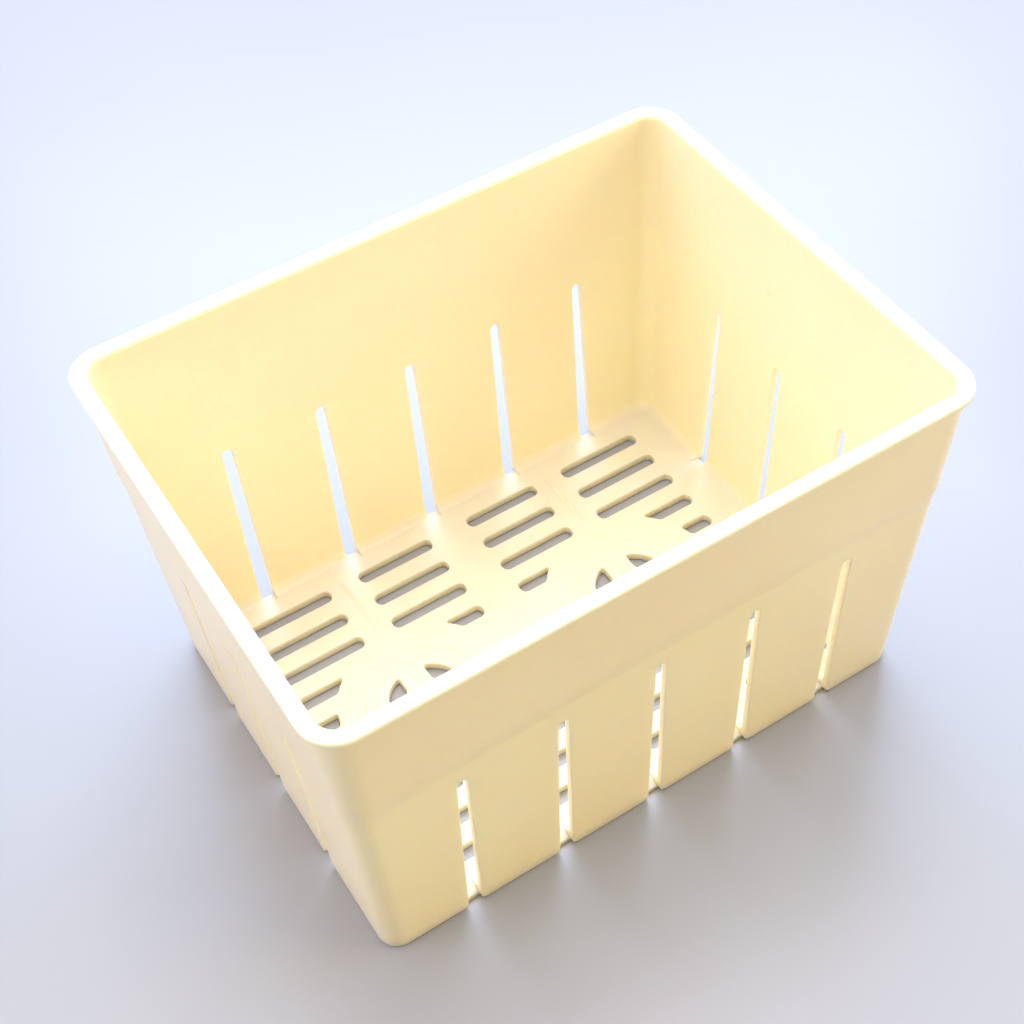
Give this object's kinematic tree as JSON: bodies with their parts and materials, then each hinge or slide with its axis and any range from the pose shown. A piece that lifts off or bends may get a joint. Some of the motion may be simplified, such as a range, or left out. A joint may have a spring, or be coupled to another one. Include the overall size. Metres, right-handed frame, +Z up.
{
  "type": "cheese mold",
  "caption": "Tapered rectangular draining basket in cream plastic with a flat lip, slotted walls, a slotted floor and two round drain roses, for pressing soft cheese or bean curd.",
  "frame": {"origin": "under the middle of the basket, on the plane of its underside", "axes": "+X along the long side, +Y along the short side, +Z up through the open mouth"},
  "size_m": [0.135, 0.102, 0.084],
  "materials": {
    "basket_plastic": "satin moulded polypropylene"
  },
  "bodies": {
    "root": {"mold_basket": "basket_plastic"}
  },
  "joints": []
}
